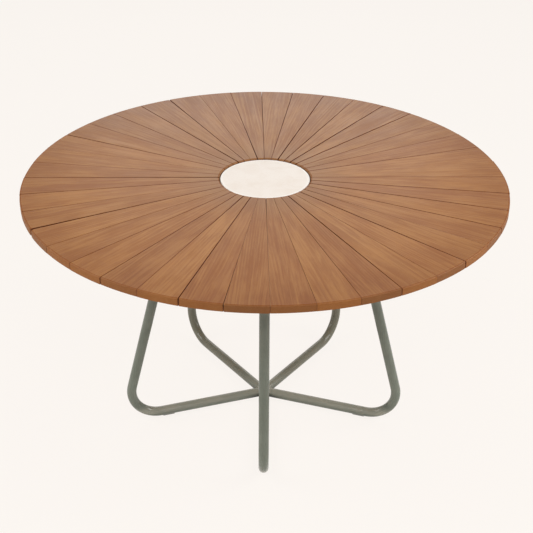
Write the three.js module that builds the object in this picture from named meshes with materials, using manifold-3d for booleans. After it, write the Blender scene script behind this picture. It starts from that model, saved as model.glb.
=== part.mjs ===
// Round patio table: a sunburst of wedge slats on three flat rings and five bent tube legs,
// with a loose disc that closes the centre opening. Millimetres, +Z up, floor at z = 0,
// origin on the floor under the middle of the top. Azimuth 0 is the front, towards -Y.
import * as THREE from 'three';
import { mergeVertices } from 'three/addons/utils/BufferGeometryUtils.js';
import Module from 'manifold-3d';

const wasm = await Module();
wasm.setup();

const degree = Math.PI / 180;
const quarter_turn = 90 * degree;
const full_turn = 360 * degree;

// Clearances
const seat_gap = 0.3;          // between two pieces that rest on each other or fit together
const cut_overrun = 5;         // how far a cutting solid runs past what it cuts
const weld_tolerance = 0.001;  // vertices closer than this are one vertex

// Tabletop
const top_diameter = 1320;
const table_height = 745;
const slat_count = 40;
const slat_thickness = 20;
const slat_spacing = 1.2;      // open seam between two slats
const slat_edge_ease = 1.2;    // rounding of every slat edge
const seam_azimuth = 1 * degree;
const centre_opening_diameter = 250;

// Centre disc
const disc_play = 2;           // open all round between the disc and the slats
const disc_thickness = 15;
const disc_edge_ease = 1.5;
const disc_pad_thickness = 1.2;
const disc_pad_width = 14;

// Steel rings under the slats
const ring_thickness = 5;
const ring_width = 30;
const ring_inset = 6;          // from the start of the level arm to the middle ring's edge
const outer_ring_setback = 20; // from the outer ring's edge to the end of the arm
const seat_ledge_width = 30;   // how far the seat ring reaches in under the disc's edge
const seat_grip_width = 40;    // how far it reaches out under the slats

// Leg tubes
const leg_count = 5;
const tube_diameter = 28;
const tube_wall = 2;
const foot_corner_radius = 435; // where the lower run and the upright would meet
const upright_lean = 15 * degree;
const bend_radius = 87;
const arm_setback = 60;         // from the end of the arm to the rim of the top

// Arm bolts
const bolt_diameter = 6;
const bolt_head_diameter = 12;
const bolt_head_height = 4;
const bolt_tip_setback = 1;     // from the ring's upper face to the bolt's tip

// Foot glides
const glide_standoff = 2;       // from the floor to the underside of the tube
const glide_length = 40;
const glide_width = 12;
const glide_peg_diameter = 6;
const glide_peg_reach = 2;      // past the inner face of the tube wall
const glide_cheek_height = 1.2; // the glide's sides above the underside of the tube

// Arm end plugs
const plug_cap_thickness = 3;
const plug_cap_ease = 0.8;
const plug_spigot_length = 14;

// Facets
const rim_facets_per_slat = 5;
const inner_facets_per_slat = 2;
const ease_facets = 2;
const ring_facets = 60;
const tube_facets = 16;
const bore_facets = 8;
const bend_steps = 9;
const saddle_facets = 32;
const bolt_facets = 8;
const peg_facets = 8;

// Worked out from the sizes above
const top_radius = top_diameter / 2;
const slat_pitch = full_turn / slat_count;
const leg_pitch = full_turn / leg_count;
const opening_radius = centre_opening_diameter / 2;
const disc_radius = opening_radius - disc_play;
const tube_radius = tube_diameter / 2;
const tube_bore_radius = tube_radius - tube_wall;

const slat_underside_z = table_height - slat_thickness;
const ring_top_z = slat_underside_z - seat_gap;
const ring_bottom_z = ring_top_z - ring_thickness;
const arm_z = ring_bottom_z - seat_gap - tube_radius;
const lower_run_z = glide_standoff + tube_radius;
const disc_pad_z = ring_top_z + seat_gap;
const disc_z = disc_pad_z + disc_pad_thickness + seat_gap;

const bend_turn = quarter_turn + upright_lean;
const bend_setback = bend_radius * Math.tan(bend_turn / 2);
const arm_corner_radius = foot_corner_radius - (arm_z - lower_run_z) * Math.tan(upright_lean);
const arm_start_radius = arm_corner_radius + bend_setback;
const arm_end_radius = top_radius - arm_setback;
const lower_run_end_radius = foot_corner_radius - bend_setback;

const seat_ring_inner = opening_radius - seat_ledge_width;
const seat_ring_outer = opening_radius + seat_grip_width;
const middle_ring_inner = arm_start_radius + ring_inset;
const middle_ring_outer = middle_ring_inner + ring_width;
const outer_ring_outer = arm_end_radius - outer_ring_setback;
const outer_ring_inner = outer_ring_outer - ring_width;
const bolt_stations = [
  (middle_ring_inner + middle_ring_outer) / 2,
  (outer_ring_inner + outer_ring_outer) / 2,
];
const glide_station = lower_run_end_radius - glide_length / 2;

// Solids for cutting and joining

function to_solid(geometry) {
  const bare = geometry.index ? geometry.toNonIndexed() : geometry.clone();
  bare.deleteAttribute('normal');
  bare.deleteAttribute('uv');
  const merged = mergeVertices(bare, weld_tolerance);
  const corners = merged.index.array;
  const kept = [];
  for (let i = 0; i < corners.length; i += 3) {
    const [a, b, c] = [corners[i], corners[i + 1], corners[i + 2]];
    if (a !== b && b !== c && c !== a) {
      kept.push(a, b, c);
    }
  }
  const mesh = new wasm.Mesh({
    numProp: 3,
    vertProperties: new Float32Array(merged.attributes.position.array),
    triVerts: new Uint32Array(kept),
  });
  return new wasm.Manifold(mesh);
}

function to_geometry(solid) {
  const mesh = solid.getMesh();
  const geometry = new THREE.BufferGeometry();
  geometry.setAttribute('position', new THREE.BufferAttribute(mesh.vertProperties, 3));
  geometry.setIndex(new THREE.BufferAttribute(mesh.triVerts, 1));
  const faceted = geometry.toNonIndexed();
  faceted.computeVertexNormals();
  return faceted;
}

// Profiles

function regular_outline(radius, sides) {
  const points = [];
  for (let i = 0; i < sides; i += 1) {
    const angle = (full_turn * i) / sides;
    points.push(new THREE.Vector2(radius * Math.cos(angle), radius * Math.sin(angle)));
  }
  return points;
}

// Revolves [radius, height] pairs about +Z
function revolved(profile, sides) {
  const points = profile.map(([radius, height]) => new THREE.Vector2(radius, height));
  return new THREE.LatheGeometry(points, sides).rotateX(quarter_turn);
}

function revolved_ring(inner, outer, height) {
  return revolved([[inner, 0], [outer, 0], [outer, height], [inner, height], [inner, 0]], ring_facets);
}

function upright_cylinder(radius, height, sides) {
  return revolved([[0, 0], [radius, 0], [radius, height], [0, height]], sides);
}

// One wedge slat, pointing along +X, with its underside at z = 0

function slat_geometry() {
  const half_angle_at = (radius) => slat_pitch / 2 - Math.asin(slat_spacing / 2 / radius);
  const wedge_points = [];
  const add_arc = (radius, from_share, to_share, facets) => {
    for (let i = 0; i <= facets; i += 1) {
      const share = from_share + ((to_share - from_share) * i) / facets;
      const angle = half_angle_at(radius) * share;
      wedge_points.push(new THREE.Vector2(radius * Math.cos(angle), radius * Math.sin(angle)));
    }
  };
  add_arc(top_radius, -1, 1, rim_facets_per_slat);
  add_arc(opening_radius, 1, -1, inner_facets_per_slat);
  const slat = new THREE.ExtrudeGeometry(new THREE.Shape(wedge_points), {
    depth: slat_thickness - 2 * slat_edge_ease,
    steps: 1,
    bevelEnabled: true,
    bevelThickness: slat_edge_ease,
    bevelSize: slat_edge_ease,
    bevelOffset: -slat_edge_ease,
    bevelSegments: ease_facets,
  });
  return slat.translate(0, 0, slat_edge_ease);
}

// The loose disc and the pad ring that it lies on

function disc_geometry() {
  return revolved([
    [0, 0],
    [disc_radius - disc_edge_ease, 0],
    [disc_radius, disc_edge_ease],
    [disc_radius, disc_thickness - disc_edge_ease],
    [disc_radius - disc_edge_ease, disc_thickness],
    [0, disc_thickness],
  ], ring_facets);
}

function disc_pad_geometry() {
  const middle = (seat_ring_inner + disc_radius) / 2;
  return revolved_ring(middle - disc_pad_width / 2, middle + disc_pad_width / 2, disc_pad_thickness);
}

// A flat ring with one bolt hole over each arm

function bolted_ring_geometry(inner, outer) {
  let ring = to_solid(revolved_ring(inner, outer, ring_thickness));
  const hole_radius = bolt_diameter / 2 + seat_gap;
  for (let leg = 0; leg < leg_count; leg += 1) {
    const hole = upright_cylinder(hole_radius, ring_thickness + 2 * cut_overrun, bolt_facets);
    hole.translate((inner + outer) / 2, 0, -cut_overrun).rotateZ(leg * leg_pitch - quarter_turn);
    ring = ring.subtract(to_solid(hole));
  }
  return to_geometry(ring);
}

// The centreline of a leg tube in the plane of +X and +Z: lower run, bend, upright, bend, arm.
// Its parameter counts rings, so the bends get the rings and the straight runs need none.

class LegCentreline extends THREE.Curve {
  constructor() {
    super();
    this.stations = [];
    const lower_bend_z = lower_run_z + bend_radius;
    const upper_bend_z = arm_z - bend_radius;
    this.add_station(0, lower_run_z, 0);
    for (let i = 0; i <= bend_steps; i += 1) {
      const heading = (bend_turn * i) / bend_steps;
      this.add_station(
        lower_run_end_radius + bend_radius * Math.sin(heading),
        lower_bend_z - bend_radius * Math.cos(heading),
        heading,
      );
    }
    for (let i = bend_steps; i >= 0; i -= 1) {
      const heading = (bend_turn * i) / bend_steps;
      this.add_station(
        arm_start_radius - bend_radius * Math.sin(heading),
        upper_bend_z + bend_radius * Math.cos(heading),
        heading,
      );
    }
    this.add_station(arm_end_radius, arm_z, 0);
  }

  add_station(x, z, heading) {
    const point = new THREE.Vector3(x, 0, z);
    const tangent = new THREE.Vector3(Math.cos(heading), 0, Math.sin(heading));
    this.stations.push({ point, tangent });
  }

  between_stations(t, key) {
    const place = t * (this.stations.length - 1);
    const before = Math.min(Math.floor(place), this.stations.length - 2);
    return this.stations[before][key].clone().lerp(this.stations[before + 1][key], place - before);
  }

  getPoint(t) {
    return this.between_stations(t, 'point');
  }

  getTangent(t) {
    return this.between_stations(t, 'tangent').normalize();
  }

  getUtoTmapping(u) {
    return u;
  }
}

// One hollow leg along +X, mitred at the centre, with its two arm bolts and the hole for its glide

function leg_geometry() {
  const section = new THREE.Shape(regular_outline(tube_radius, tube_facets));
  section.holes.push(new THREE.Path(regular_outline(tube_bore_radius, bore_facets)));
  const centreline = new LegCentreline();
  const tube = new THREE.ExtrudeGeometry(section, {
    extrudePath: centreline,
    steps: centreline.stations.length - 1,
  });

  const mitre_half_angle = leg_pitch / 2;
  const mitre_apex = seat_gap / 2 / Math.sin(mitre_half_angle);
  const mitre_reach = top_radius;
  const mitre_half_width = (mitre_reach - mitre_apex) * Math.tan(mitre_half_angle);
  const mitre_wedge = new THREE.ExtrudeGeometry(new THREE.Shape([
    new THREE.Vector2(mitre_apex, 0),
    new THREE.Vector2(mitre_reach, -mitre_half_width),
    new THREE.Vector2(mitre_reach, mitre_half_width),
  ]), { depth: table_height, bevelEnabled: false });

  let leg = to_solid(tube).intersect(to_solid(mitre_wedge));
  for (const station of bolt_stations) {
    leg = leg.add(to_solid(arm_bolt_geometry().translate(station, 0, 0)));
  }
  const peg_hole = upright_cylinder(glide_peg_diameter / 2 + seat_gap, tube_radius + glide_standoff, peg_facets);
  return to_geometry(leg.subtract(to_solid(peg_hole.translate(glide_station, 0, 0))));
}

function arm_bolt_geometry() {
  const head_bottom = arm_z - tube_radius - bolt_head_height;
  const head_top = arm_z - tube_radius + tube_wall / 2;
  const tip = ring_top_z - bolt_tip_setback;
  return revolved([
    [0, head_bottom],
    [bolt_head_diameter / 2, head_bottom],
    [bolt_head_diameter / 2, head_top],
    [bolt_diameter / 2, head_top],
    [bolt_diameter / 2, tip],
    [0, tip],
  ], bolt_facets);
}

// A glide: a round-ended pad, hollowed to fit the tube, with a peg for the hole in the tube wall

function glide_geometry() {
  const end_radius = glide_width / 2;
  const end_centre = glide_length / 2 - end_radius;
  const outline = new THREE.Shape();
  outline.absarc(end_centre, 0, end_radius, -quarter_turn, quarter_turn, false);
  outline.absarc(-end_centre, 0, end_radius, quarter_turn, -quarter_turn, false);
  const pad = new THREE.ExtrudeGeometry(outline, {
    depth: glide_standoff + glide_cheek_height,
    bevelEnabled: false,
    curveSegments: peg_facets / 2,
  });
  const saddle = new THREE.CylinderGeometry(
    tube_radius + seat_gap,
    tube_radius + seat_gap,
    glide_length + 2 * cut_overrun,
    saddle_facets,
  ).rotateZ(quarter_turn).translate(0, 0, lower_run_z);
  const peg_foot = glide_standoff / 2;
  const peg_top = glide_standoff + tube_wall + glide_peg_reach;
  const peg = upright_cylinder(glide_peg_diameter / 2, peg_top - peg_foot, peg_facets);
  peg.translate(0, 0, peg_foot);
  return to_geometry(to_solid(pad).subtract(to_solid(saddle)).add(to_solid(peg)));
}

// A plug for the open end of an arm, along +X, with its cap's inner face at x = 0

function plug_geometry() {
  const bore_inradius = tube_bore_radius * Math.cos(Math.PI / bore_facets);
  const spigot_radius = bore_inradius - seat_gap;
  return revolved([
    [0, -plug_spigot_length],
    [spigot_radius, -plug_spigot_length],
    [spigot_radius, 0],
    [tube_radius, 0],
    [tube_radius, plug_cap_thickness - plug_cap_ease],
    [tube_radius - plug_cap_ease, plug_cap_thickness],
    [0, plug_cap_thickness],
  ], tube_facets).rotateY(quarter_turn);
}

// Materials

const finishes = {
  oiled_wood: { color: 0xa5724f, roughness: 0.5, metalness: 0 },
  pale_stone: { color: 0xf4eadf, roughness: 0.6, metalness: 0 },
  coated_steel: { color: 0x747568, roughness: 0.45, metalness: 0.2 },
  grey_plastic: { color: 0x8b8c86, roughness: 0.6, metalness: 0 },
  black_rubber: { color: 0x24241f, roughness: 0.9, metalness: 0 },
};

function named_mesh(name, geometry, finish) {
  const mesh = new THREE.Mesh(geometry, new THREE.MeshStandardMaterial(finishes[finish]));
  mesh.name = name;
  return mesh;
}

// Assembly

const table = new THREE.Group();

// Turns what is built along +X to an azimuth and sets its height
function add_at(azimuth, height, mesh) {
  const arm = new THREE.Group();
  arm.rotation.z = azimuth - quarter_turn;
  mesh.position.z = height;
  arm.add(mesh);
  table.add(arm);
}

const slat = slat_geometry();
for (let i = 0; i < slat_count; i += 1) {
  const name = `slat_${String(i + 1).padStart(2, '0')}`;
  add_at(seam_azimuth + (i + 0.5) * slat_pitch, slat_underside_z, named_mesh(name, slat, 'oiled_wood'));
}

const leg_tube = leg_geometry();
const glide = glide_geometry();
const plug = plug_geometry();
for (let i = 0; i < leg_count; i += 1) {
  const azimuth = i * leg_pitch;
  add_at(azimuth, 0, named_mesh(`leg_tube_${i + 1}`, leg_tube, 'coated_steel'));

  const foot_glide = named_mesh(`foot_glide_${i + 1}`, glide, 'grey_plastic');
  foot_glide.position.x = glide_station;
  add_at(azimuth, 0, foot_glide);

  const arm_plug = named_mesh(`arm_plug_${i + 1}`, plug, 'grey_plastic');
  arm_plug.position.x = arm_end_radius + seat_gap;
  add_at(azimuth, arm_z, arm_plug);
}

const rings = [
  named_mesh('seat_ring', revolved_ring(seat_ring_inner, seat_ring_outer, ring_thickness), 'coated_steel'),
  named_mesh('middle_ring', bolted_ring_geometry(middle_ring_inner, middle_ring_outer), 'coated_steel'),
  named_mesh('outer_ring', bolted_ring_geometry(outer_ring_inner, outer_ring_outer), 'coated_steel'),
];
for (const ring of rings) {
  ring.position.z = ring_bottom_z;
  table.add(ring);
}

const disc_pad = named_mesh('disc_pad', disc_pad_geometry(), 'black_rubber');
disc_pad.position.z = disc_pad_z;
table.add(disc_pad);

const centre_disc = named_mesh('centre_disc', disc_geometry(), 'pale_stone');
centre_disc.position.z = disc_z;
table.add(centre_disc);

export default table;
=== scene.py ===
import random
from math import asin, cos, pi, radians, sin, sqrt, tan
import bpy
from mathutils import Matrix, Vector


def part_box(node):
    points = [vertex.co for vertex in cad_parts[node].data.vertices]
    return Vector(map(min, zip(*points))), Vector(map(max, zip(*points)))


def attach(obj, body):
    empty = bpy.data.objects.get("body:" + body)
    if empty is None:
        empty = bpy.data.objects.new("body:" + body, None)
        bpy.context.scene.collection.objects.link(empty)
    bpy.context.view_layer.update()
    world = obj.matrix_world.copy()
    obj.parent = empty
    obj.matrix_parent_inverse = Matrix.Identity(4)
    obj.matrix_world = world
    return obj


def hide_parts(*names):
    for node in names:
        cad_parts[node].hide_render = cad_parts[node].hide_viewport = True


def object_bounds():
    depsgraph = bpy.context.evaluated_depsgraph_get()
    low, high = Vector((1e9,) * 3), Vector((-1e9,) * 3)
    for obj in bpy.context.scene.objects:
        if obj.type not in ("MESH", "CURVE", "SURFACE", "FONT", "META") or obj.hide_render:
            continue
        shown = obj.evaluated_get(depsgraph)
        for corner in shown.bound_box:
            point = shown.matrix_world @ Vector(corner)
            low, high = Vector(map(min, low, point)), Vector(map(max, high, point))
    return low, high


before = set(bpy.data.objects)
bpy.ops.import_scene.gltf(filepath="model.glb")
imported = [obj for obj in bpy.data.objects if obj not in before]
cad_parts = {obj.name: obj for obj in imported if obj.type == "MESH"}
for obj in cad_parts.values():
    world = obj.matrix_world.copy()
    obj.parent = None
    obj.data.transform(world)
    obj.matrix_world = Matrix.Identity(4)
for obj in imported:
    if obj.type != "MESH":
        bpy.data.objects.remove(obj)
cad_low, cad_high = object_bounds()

from types import SimpleNamespace

import bpy
from mathutils import Matrix, Vector

# Round patio table: wedge slats on three flat rings and five bent tube legs, round a loose stone disc.
# Metres, +Z up, floor at z = 0. Azimuth 0 is the front, towards -Y. Each slat and leg is built along
# +X and turned to its azimuth.

FULL_TURN = 2 * pi
QUARTER_TURN = pi / 2

# Sizes of the part

SLAT_COUNT = 40
SLAT_PITCH = FULL_TURN / SLAT_COUNT
SEAM_AZIMUTH = radians(1)
OPENING_RADIUS = 0.125

LEG_COUNT = 5
LEG_PITCH = FULL_TURN / LEG_COUNT
TUBE_RADIUS = 0.014
TUBE_WALL = 0.002
BEND_RADIUS = 0.087
BEND_TURN = radians(105)
FOOT_CORNER_RADIUS = 0.435   # where the lower run and the upright would meet
ARM_SETBACK = 0.060   # from the end of an arm to the rim of the top
GLIDE_STANDOFF = 0.002
SEAT_GAP = 0.0003   # between two pieces that rest on each other

RING_WIDTH = 0.030
RING_THICKNESS = 0.005
SEAT_RING_WIDTH = 0.070

RIM_INSET = 0.0001   # that a dressed rim stays inside the rim of its solid
ROUND_SEGMENTS = 160   # of a ring and of the disc

# Places read from the frame

SLAT_LOW, SLAT_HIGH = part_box("slat_10")
SLAT_BOTTOM_Z = SLAT_LOW.z
TABLE_HEIGHT = SLAT_HIGH.z
TOP_RADIUS = cad_high.x
DISC_LOW, DISC_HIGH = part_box("centre_disc")
PAD_LOW, PAD_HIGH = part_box("disc_pad")
RING_BOTTOM_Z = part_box("middle_ring")[0].z
RING_TOP_Z = RING_BOTTOM_Z + RING_THICKNESS
ARM_Z = RING_BOTTOM_Z - SEAT_GAP - TUBE_RADIUS
LOWER_RUN_Z = GLIDE_STANDOFF + TUBE_RADIUS
BEND_SETBACK = BEND_RADIUS * tan(BEND_TURN / 2)
LOWER_RUN_END = FOOT_CORNER_RADIUS - BEND_SETBACK
ARM_CORNER = FOOT_CORNER_RADIUS - (ARM_Z - LOWER_RUN_Z) * tan(BEND_TURN - QUARTER_TURN)
ARM_START = ARM_CORNER + BEND_SETBACK
ARM_END = TOP_RADIUS - ARM_SETBACK


# Mesh helpers

def azimuth_turn(azimuth):
    return Matrix.Rotation(azimuth - QUARTER_TURN, 4, "Z")


def in_scene(name, data):
    made = bpy.data.objects.new(name, data)
    bpy.context.scene.collection.objects.link(made)
    return made


def add_piece(name, vertices, faces, material, slot, body="table", crisp=True):
    """A smooth-shaded piece that rides on a body. Crisp pieces keep their large faces flat."""
    mesh = bpy.data.meshes.new(name)
    mesh.from_pydata([tuple(v) for v in vertices], [], faces)
    mesh.validate()
    mesh.shade_smooth()
    mesh.materials.append(material)
    piece = in_scene(name, mesh)
    if crisp:
        normals = piece.modifiers.new("even_normals", "WEIGHTED_NORMAL")
        normals.weight = 100
    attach(piece, body)
    return piece


def face_values(piece, name, values):
    layer = piece.data.attributes.new(name, "FLOAT", "FACE")
    layer.data.foreach_set("value", values)


def vectors_on(piece, name, domain, values):
    layer = piece.data.attributes.new(name, "FLOAT_VECTOR", domain)
    layer.data.foreach_set("vector", [number for value in values for number in value])


def joined(parts):
    """One list of vertices and one of faces from several (vertices, faces) pairs."""
    vertices, faces = [], []
    for part_vertices, part_faces in parts:
        start = len(vertices)
        vertices += part_vertices
        faces += [tuple(start + i for i in face) for face in part_faces]
    return vertices, faces


def moved(part, matrix):
    vertices, faces = part
    return [matrix @ Vector(v) for v in vertices], faces


def bridge(first, second, count):
    """Faces between two closed loops of vertices, from the numbers that the two loops start at."""
    faces = []
    for i in range(count):
        j = (i + 1) % count
        faces.append((first + i, first + j, second + j, second + i))
    return faces


def eased_corners(points, ease, steps=4):
    """A closed outline with every corner rounded to the same ease."""
    rounded = []
    for i, corner in enumerate(points):
        corner = Vector(corner)
        back = (Vector(points[i - 1]) - corner).normalized() * ease
        ahead = (Vector(points[(i + 1) % len(points)]) - corner).normalized() * ease
        for step in range(steps + 1):
            share = step / steps
            rounded.append(corner + back * (1 - share) ** 2 + ahead * share ** 2)
    return rounded


def quarter_round(radius, ease, steps):
    """(radius, height) points of an eased edge, from the side of a solid up to its top at height 0."""
    angles = [QUARTER_TURN * k / steps for k in range(steps + 1)]
    return [(radius - ease * (1 - cos(a)), -ease * (1 - sin(a))) for a in angles]


def round_axis(radius, z, k, steps):
    """A point at step k of a full turn."""
    angle = FULL_TURN * k / steps
    return Vector((radius * cos(angle), radius * sin(angle), z))


def revolved_points(profile, segments):
    return [round_axis(r, z, k, segments) for k in range(segments) for r, z in profile]


def revolved_ring(inner, outer, low, high, ease):
    """A flat ring with eased edges."""
    profile = eased_corners([(inner, low), (outer, low), (outer, high), (inner, high)], ease)
    count = len(profile)
    vertices = revolved_points(profile, ROUND_SEGMENTS)
    faces = []
    for k in range(ROUND_SEGMENTS):
        here = k * count
        there = (k + 1) % ROUND_SEGMENTS * count
        for i in range(count):
            j = (i + 1) % count
            faces.append((here + i, there + i, there + j, here + j))
    return vertices, faces


def revolved_solid(profile, segments):
    """Revolves (radius, height) points from the bottom of the axis to its top."""
    inner = profile[1:-1]
    count = len(inner)
    vertices = [Vector((0, 0, profile[0][1])), Vector((0, 0, profile[-1][1]))]
    vertices += revolved_points(inner, segments)
    faces = []
    for k in range(segments):
        here = 2 + k * count
        there = 2 + (k + 1) % segments * count
        faces.append((0, there, here))
        for i in range(count - 1):
            faces.append((here + i, there + i, there + i + 1, here + i + 1))
        faces.append((1, here + count - 1, there + count - 1))
    return vertices, faces


# Shader helpers

def srgb(red, green, blue):
    """A colour written in 8-bit sRGB, as the shader's linear values."""
    channels = []
    for value in (red, green, blue):
        share = value / 255
        channels.append(share / 12.92 if share <= 0.04045 else ((share + 0.055) / 1.055) ** 2.4)
    return (*channels, 1.0)


class Nodes:
    """Adds nodes to one tree and links them. A value is a number, a tuple or another node's output."""

    def __init__(self, tree):
        self.nodes = tree.nodes
        self.links = tree.links

    def put(self, socket, value):
        if isinstance(value, bpy.types.NodeSocket):
            self.links.new(value, socket)
        else:
            socket.default_value = value

    def node(self, kind, inputs=(), **settings):
        made = self.nodes.new(kind)
        for key, value in settings.items():
            setattr(made, key, value)
        for key, value in dict(inputs).items():
            self.put(made.inputs[key], value)
        return made

    def place(self):
        return self.node("ShaderNodeTexCoord").outputs["Object"]

    def attribute(self, name, output="Fac"):
        return self.node("ShaderNodeAttribute", attribute_name=name).outputs[output]

    def split(self, vector):
        return self.node("ShaderNodeSeparateXYZ", {"Vector": vector}).outputs

    def merge(self, x, y, z):
        return self.node("ShaderNodeCombineXYZ", {"X": x, "Y": y, "Z": z}).outputs["Vector"]

    def maths(self, operation, *values, clamp=False):
        made = self.node("ShaderNodeMath", operation=operation, use_clamp=clamp)
        for socket, value in zip(made.inputs, values):
            self.put(socket, value)
        return made.outputs["Value"]

    def times(self, first, second):
        return self.maths("MULTIPLY", first, second)

    def times_plus(self, first, second, added, clamp=False):
        return self.maths("MULTIPLY_ADD", first, second, added, clamp=clamp)

    def distance(self, x, y):
        return self.maths("SQRT", self.times_plus(x, x, self.times(y, y)))

    def vectors(self, operation, first, second):
        made = self.node("ShaderNodeVectorMath", {0: first, 1: second}, operation=operation)
        return made.outputs["Vector"]

    def noise(self, vector, scale, detail=2.0, roughness=0.5, distortion=0.0):
        made = self.node("ShaderNodeTexNoise", {
            "Vector": vector, "Scale": scale, "Detail": detail,
            "Roughness": roughness, "Distortion": distortion,
        })
        return made.outputs["Fac"]

    def spread(self, value, low, high, to_low=0.0, to_high=1.0):
        """Maps low..high to to_low..to_high with soft ends."""
        made = self.node("ShaderNodeMapRange", {
            "Value": value, "From Min": low, "From Max": high, "To Min": to_low, "To Max": to_high,
        }, interpolation_type="SMOOTHSTEP")
        return made.outputs["Result"]

    def mix(self, share, first, second, blend="MIX"):
        made = self.node("ShaderNodeMix", data_type="RGBA", blend_type=blend)
        sockets = [s for s in made.inputs if s.enabled]
        for socket, value in zip(sockets, (share, first, second)):
            self.put(socket, value)
        return next(s for s in made.outputs if s.enabled)


class Shading(Nodes):
    """The nodes of a new material with one principled shader."""

    def __init__(self, name):
        self.material = bpy.data.materials.new(name)
        self.material.use_nodes = True
        super().__init__(self.material.node_tree)
        self.shader = self.nodes["Principled BSDF"]

    def bump(self, height, distance, strength):
        inputs = {"Height": height, "Distance": distance, "Strength": strength}
        self.put(self.shader.inputs["Normal"], self.node("ShaderNodeBump", inputs).outputs["Normal"])

    def finish(self, colour, roughness, **constants):
        self.put(self.shader.inputs["Base Color"], colour)
        self.put(self.shader.inputs["Roughness"], roughness)
        for key, value in constants.items():
            self.shader.inputs[key.replace("_", " ")].default_value = value
        return self.material


# Oiled wood

WOOD_PALE = srgb(170, 116, 62)
WOOD_DEEP = srgb(142, 83, 29)
WOOD_GOLD = srgb(168, 115, 56)
WOOD_RED = srgb(143, 84, 38)
WOOD_END = srgb(144, 86, 18)
WOOD_PORE = srgb(86, 48, 24)
# grime beside the seams, and painted shade on eased edges
WOOD_GRIME_AND_SHADE = srgb(124, 56, 0)
# painted shade inside the seams and at the end by the disc
WOOD_SEAM_SHADE = srgb(84, 33, 0)
# dust and painted sheen round the disc
WOOD_DUST_AND_SHEEN = srgb(138, 110, 82)
# painted highlight along some seam edges
WOOD_HIGHLIGHT = srgb(214, 170, 124)
ORANGE_TINT = (1.01, 1.01, 0.94, 1.0)
PINK_TINT = (0.985, 0.995, 1.0, 1.0)
# painted shade towards the rim
RIM_SHADE_TINT = (0.885, 0.84, 0.73, 1.0)

GRAIN = {  # cycles a metre along the grain and across it, then the noise's detail and roughness
    "drift": (2.6, 9.0, 3.0, 0.5),
    "streak": (4.5, 190.0, 4.0, 0.62),
    "fibre": (30.0, 1300.0, 3.0, 0.6),
    "pore": (95.0, 2100.0, 1.0, 0.5),
    "dash": (26.0, 420.0, 2.0, 0.5),
    "cloud": (7.0, 20.0, 5.0, 0.62),
    "hue": (10.0, 42.0, 3.0, 0.6),
    "band": (1.3, 34.0, 2.0, 0.5),
    "line": (1.1, 460.0, 2.0, 0.5),
    "patch": (14.0, 60.0, 3.0, 0.6),
    "dull": (6.0, 26.0, 4.0, 0.6),
}
SEED_REACH = (7.0, 11.0, 13.0)   # that the slats are spread over in the noise
HUE_SHIFT = (3.1, 5.3, 1.7)   # keeps the hue's noise apart from the depth's
RING_SPACING = 0.0046
RING_WANDER = 0.016   # how far drift pushes a growth ring
LOG_OFFSET = 0.11   # of a log's axis to the side of its slat, at most
LOG_LEAN = 0.045   # the spread of its sideways run for each metre along the slat
LOG_TOP_Z = 0.68   # the highest axis of a log
LOG_DEPTH = 0.12   # from the highest axis to the lowest
DUST_AND_SHEEN_REACH = 0.150   # of the dust and painted sheen, from the opening outward
RIM_SHADE = (0.50, 0.65)   # the radii between which painted shade darkens the wood towards the rim
GRIME_REACH = (0.0030, 0.0003)   # from a slat's side: where grime starts and where it is full
HIGHLIGHT_REACH = (0.0013, 0.0004)   # the same for the painted highlight along a seam edge


def grain(s, place, kind):
    """Noise that is drawn out along the grain."""
    along, across, detail, roughness = GRAIN[kind]
    return s.noise(s.vectors("MULTIPLY", place, (along, across, across)), 1.0, detail, roughness)


def growth_rings(s, place, own_place, seed):
    """0 in the pale wood between two dark lines and 1 on a dark line.

    The rings are cylinders about a log axis of its own for each slat, so that the same pattern runs
    along the faces and shows as arcs in the end grain.
    """
    along, across, up = s.split(place)
    seed_x, seed_y, seed_z = s.split(seed)
    drift = grain(s, own_place, "drift")
    log_across = s.times_plus(seed_x, 2 * LOG_OFFSET, -LOG_OFFSET)
    lean = s.times(s.maths("SUBTRACT", seed_y, 0.5), LOG_LEAN)
    ring_across = s.maths("SUBTRACT", across, log_across)
    ring_across = s.maths("ADD", ring_across, s.times(lean, along))
    ring_up = s.maths("ADD", up, s.times_plus(seed_z, LOG_DEPTH, -LOG_TOP_Z))
    ring_radius = s.times_plus(drift, RING_WANDER, s.distance(ring_across, ring_up))
    phase = s.maths("FRACT", s.maths("DIVIDE", ring_radius, RING_SPACING))
    return s.times(s.spread(phase, 0.15, 0.88), s.spread(phase, 1.0, 0.90))


def wood_figure(s, own_place, latewood, streak, fibre):
    """The colour of clean wood: rings, streaks and fibres, broad bands and a mottled hue."""
    dash = grain(s, own_place, "dash")
    cloud = grain(s, own_place, "cloud")
    layers = (  # a noise, the span of it that shows, and its weight
        (streak, 0.26, 0.74, 0.31),
        (dash, 0.25, 0.75, 0.16),
        (cloud, 0.28, 0.72, 0.42),
        (fibre, 0.3, 0.7, 0.12),
    )
    depth = s.times(latewood, 0.19)
    for value, low, high, weight in layers:
        depth = s.times_plus(s.spread(value, low, high), weight, depth)
    colour = s.mix(s.spread(depth, 0.26, 0.88), WOOD_PALE, WOOD_DEEP)
    own_hue = s.mix(s.attribute("slat_warmth"), WOOD_GOLD, WOOD_RED)
    colour = s.mix(0.22, colour, own_hue)
    hue_place = s.vectors("ADD", own_place, HUE_SHIFT)
    hue = s.spread(grain(s, hue_place, "hue"), 0.32, 0.68)
    colour = s.mix(1.0, colour, s.mix(hue, ORANGE_TINT, PINK_TINT), "MULTIPLY")
    band = s.spread(grain(s, hue_place, "band"), 0.50, 0.68)
    band = s.times(band, s.attribute("slat_bands"))
    colour = s.mix(s.times(band, 0.5), colour, WOOD_RED)
    line = s.spread(grain(s, hue_place, "line"), 0.52, 0.64)
    line = s.times(line, s.attribute("slat_lines"))
    return s.mix(s.times(line, 0.55), colour, WOOD_DEEP)


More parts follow.
